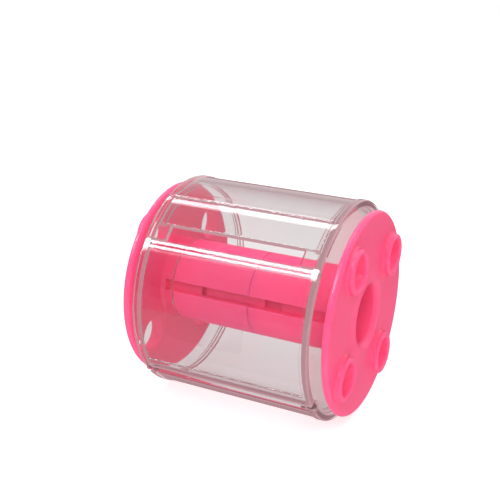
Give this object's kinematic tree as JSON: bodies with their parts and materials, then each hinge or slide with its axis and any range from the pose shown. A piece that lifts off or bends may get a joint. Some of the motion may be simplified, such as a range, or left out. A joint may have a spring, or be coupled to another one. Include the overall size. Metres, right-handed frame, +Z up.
{
  "type": "ribbon winder",
  "caption": "Hand-held ribbon winder: clear drum case with a beaded slit and hinged door round a slotted pink reel with raised finger rings on its end wheels.",
  "frame": {"origin": "on the resting plane, under the middle of the reel's axis", "axes": "+Z up, X along the reel's axis, the door and the ribbon slit face -Y"},
  "size_m": [0.0832, 0.0796, 0.079],
  "materials": {
    "pink_plastic": "moulded, satin gloss",
    "clear_plastic": "clear, polished",
    "clear_film": "clear film, bare",
    "steel_pin": "drawn wire"
  },
  "bodies": {
    "case": {"back_shell": "clear_plastic", "left_end_cap": "clear_plastic", "right_end_cap": "clear_plastic", "door_hinge_pins": "steel_pin"},
    "door": {"front_door": "clear_plastic", "label_film": "clear_film"},
    "reel": {"left_reel_half": "pink_plastic", "right_reel_half": "pink_plastic"}
  },
  "joints": [
    {"name": "reel_spin", "type": "hinge", "parent": "case", "child": "reel", "pos_m": [0, 0, 0.0392], "axis": [1, 0, 0], "continuous": true},
    {"name": "door_swing", "type": "hinge", "parent": "case", "child": "door", "pos_m": [0, -0.03027, 0.01639], "axis": [1, 0, 0], "range_deg": [0, 100]}
  ]
}
